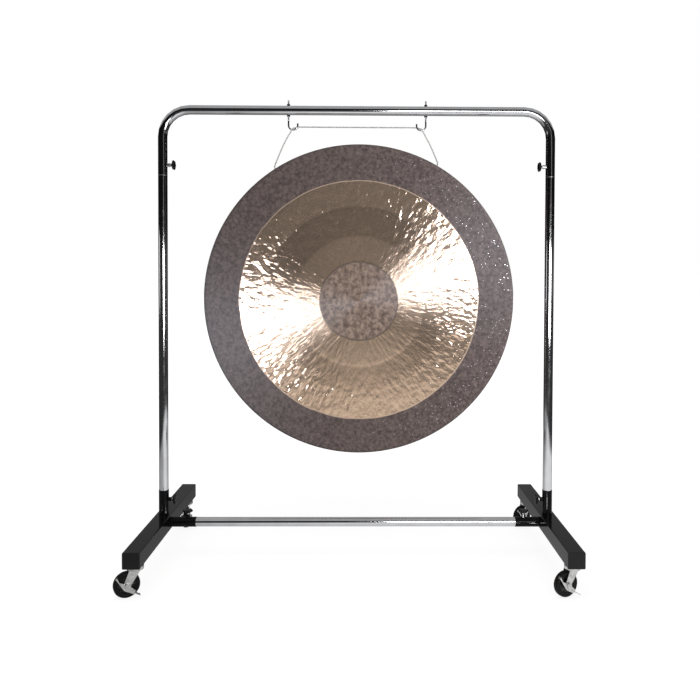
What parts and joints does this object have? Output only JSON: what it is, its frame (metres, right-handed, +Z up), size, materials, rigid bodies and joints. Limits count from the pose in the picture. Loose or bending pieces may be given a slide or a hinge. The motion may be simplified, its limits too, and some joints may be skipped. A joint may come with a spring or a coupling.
{
  "type": "gong stand on casters",
  "caption": "Rolling gong stand of chrome tubes on square black legs, with a lift-off top bar, hooks, and a large bronze gong hung from a cord.",
  "frame": {"origin": "on the floor, under the middle of the whole stand with its casters as they are turned in the picture", "axes": "+Z up, +X to the right seen from the front, +Y to the back; the gong's face looks along -Y"},
  "size_m": [1.3565, 0.65, 1.5035],
  "materials": {
    "chrome_tube": "polished",
    "zinc_steel": "satin zinc plate",
    "black_paint": "gloss",
    "black_plastic": "satin",
    "black_rubber": "matte",
    "hammered_bronze": "lathed and hammered, with a patina",
    "white_cord": "braided"
  },
  "bodies": {
    "base": {"left_leg": "black_paint", "left_front_cap": "black_plastic", "left_rear_cap": "black_plastic", "left_upright_socket": "black_paint", "left_stretcher_socket": "black_paint", "left_upright": "chrome_tube", "left_sleeve": "zinc_steel", "right_leg": "black_paint", "right_front_cap": "black_plastic", "right_rear_cap": "black_plastic", "right_upright_socket": "black_paint", "right_stretcher_socket": "black_paint", "right_upright": "chrome_tube", "right_sleeve": "zinc_steel", "stretcher": "chrome_tube", "front_left_caster_stem": "zinc_steel", "rear_left_caster_stem": "zinc_steel", "front_right_caster_stem": "zinc_steel", "rear_right_caster_stem": "zinc_steel"},
    "top_frame": {"top_bar": "chrome_tube", "left_hook": "chrome_tube", "left_hook_upper_nut": "chrome_tube", "left_hook_lower_nut": "chrome_tube", "right_hook": "chrome_tube", "right_hook_upper_nut": "chrome_tube", "right_hook_lower_nut": "chrome_tube"},
    "left_top_thumbscrew": {"left_top_knob": "black_plastic", "left_top_screw": "chrome_tube"},
    "left_upright_thumbscrew": {"left_upright_knob": "black_plastic", "left_upright_screw": "chrome_tube"},
    "left_stretcher_thumbscrew": {"left_stretcher_knob": "black_plastic", "left_stretcher_screw": "chrome_tube"},
    "right_top_thumbscrew": {"right_top_knob": "black_plastic", "right_top_screw": "chrome_tube"},
    "right_upright_thumbscrew": {"right_upright_knob": "black_plastic", "right_upright_screw": "chrome_tube"},
    "right_stretcher_thumbscrew": {"right_stretcher_knob": "black_plastic", "right_stretcher_screw": "chrome_tube"},
    "cord": {"gong_cord": "white_cord"},
    "gong": {"gong": "hammered_bronze"},
    "front_left_fork": {"front_left_caster_fork": "zinc_steel", "front_left_caster_axle": "zinc_steel"},
    "front_left_wheel": {"front_left_caster_hub": "black_plastic", "front_left_caster_tyre": "black_rubber"},
    "front_left_brake": {"front_left_caster_brake": "zinc_steel"},
    "rear_left_fork": {"rear_left_caster_fork": "zinc_steel", "rear_left_caster_axle": "zinc_steel"},
    "rear_left_wheel": {"rear_left_caster_hub": "black_plastic", "rear_left_caster_tyre": "black_rubber"},
    "rear_left_brake": {"rear_left_caster_brake": "zinc_steel"},
    "front_right_fork": {"front_right_caster_fork": "zinc_steel", "front_right_caster_axle": "zinc_steel"},
    "front_right_wheel": {"front_right_caster_hub": "black_plastic", "front_right_caster_tyre": "black_rubber"},
    "front_right_brake": {"front_right_caster_brake": "zinc_steel"},
    "rear_right_fork": {"rear_right_caster_fork": "zinc_steel", "rear_right_caster_axle": "zinc_steel"},
    "rear_right_wheel": {"rear_right_caster_hub": "black_plastic", "rear_right_caster_tyre": "black_rubber"},
    "rear_right_brake": {"rear_right_caster_brake": "zinc_steel"}
  },
  "joints": [
    {"name": "top_frame_lift", "type": "slide", "parent": "base", "child": "top_frame", "axis": [0, 0, 1], "range_m": [0, 0.09]},
    {"name": "left_top_thumbscrew_turn", "type": "hinge", "parent": "top_frame", "child": "left_top_thumbscrew", "pos_m": [-0.5953, 0, 1.291], "axis": [1, 0, 0], "range_deg": [-720, 0]},
    {"name": "left_upright_thumbscrew_turn", "type": "hinge", "parent": "base", "child": "left_upright_thumbscrew", "pos_m": [-0.5953, 0, 0.1891], "axis": [1, 0, 0], "range_deg": [-720, 0]},
    {"name": "left_stretcher_thumbscrew_turn", "type": "hinge", "parent": "base", "child": "left_stretcher_thumbscrew", "pos_m": [-0.5412, 0, 0.138], "axis": [0, 0, 1], "range_deg": [-720, 0]},
    {"name": "right_top_thumbscrew_turn", "type": "hinge", "parent": "top_frame", "child": "right_top_thumbscrew", "pos_m": [0.6277, 0, 1.291], "axis": [-1, 0, 0], "range_deg": [-720, 0]},
    {"name": "right_upright_thumbscrew_turn", "type": "hinge", "parent": "base", "child": "right_upright_thumbscrew", "pos_m": [0.6277, 0, 0.1891], "axis": [-1, 0, 0], "range_deg": [-720, 0]},
    {"name": "right_stretcher_thumbscrew_turn", "type": "hinge", "parent": "base", "child": "right_stretcher_thumbscrew", "pos_m": [0.5736, 0, 0.138], "axis": [0, 0, 1], "range_deg": [-720, 0]},
    {"name": "cord_swing", "type": "hinge", "parent": "top_frame", "child": "cord", "pos_m": [0.0162, 0, 1.408], "axis": [1, 0, 0], "range_deg": [-10, 10]},
    {"name": "gong_swing", "type": "hinge", "parent": "cord", "child": "gong", "pos_m": [0.0131, 0, 1.2859], "axis": [0.9997, 0, 0.0246], "range_deg": [-8, 8]},
    {"name": "front_left_swivel", "type": "hinge", "parent": "base", "child": "front_left_fork", "pos_m": [-0.6203, -0.284, 0.088], "axis": [0, 0, 1], "continuous": true},
    {"name": "front_left_roll", "type": "hinge", "parent": "front_left_fork", "child": "front_left_wheel", "pos_m": [-0.64258, -0.29535, 0.0375], "axis": [-0.454, 0.891, 0], "continuous": true},
    {"name": "front_left_brake_tilt", "type": "hinge", "parent": "front_left_fork", "child": "front_left_brake", "pos_m": [-0.64258, -0.29535, 0.0375], "axis": [0.454, -0.891, 0], "range_deg": [0, 30]},
    {"name": "rear_left_swivel", "type": "hinge", "parent": "base", "child": "rear_left_fork", "pos_m": [-0.6203, 0.284, 0.088], "axis": [0, 0, 1], "continuous": true},
    {"name": "rear_left_roll", "type": "hinge", "parent": "rear_left_fork", "child": "rear_left_wheel", "pos_m": [-0.61425, 0.25974, 0.0375], "axis": [-0.9703, -0.2419, 0], "continuous": true},
    {"name": "rear_left_brake_tilt", "type": "hinge", "parent": "rear_left_fork", "child": "rear_left_brake", "pos_m": [-0.61425, 0.25974, 0.0375], "axis": [0.9703, 0.2419, 0], "range_deg": [0, 30]},
    {"name": "front_right_swivel", "type": "hinge", "parent": "base", "child": "front_right_fork", "pos_m": [0.6527, -0.284, 0.088], "axis": [0, 0, 1], "continuous": true},
    {"name": "front_right_roll", "type": "hinge", "parent": "front_right_fork", "child": "front_right_wheel", "pos_m": [0.62969, -0.29377, 0.0375], "axis": [-0.3907, 0.9205, 0], "continuous": true},
    {"name": "front_right_brake_tilt", "type": "hinge", "parent": "front_right_fork", "child": "front_right_brake", "pos_m": [0.62969, -0.29377, 0.0375], "axis": [0.3907, -0.9205, 0], "range_deg": [0, 30]},
    {"name": "rear_right_swivel", "type": "hinge", "parent": "base", "child": "rear_right_fork", "pos_m": [0.6527, 0.284, 0.088], "axis": [0, 0, 1], "continuous": true},
    {"name": "rear_right_roll", "type": "hinge", "parent": "rear_right_fork", "child": "rear_right_wheel", "pos_m": [0.6315, 0.27075, 0.0375], "axis": [-0.5299, 0.848, 0], "continuous": true},
    {"name": "rear_right_brake_tilt", "type": "hinge", "parent": "rear_right_fork", "child": "rear_right_brake", "pos_m": [0.6315, 0.27075, 0.0375], "axis": [0.5299, -0.848, 0], "range_deg": [0, 30]}
  ]
}
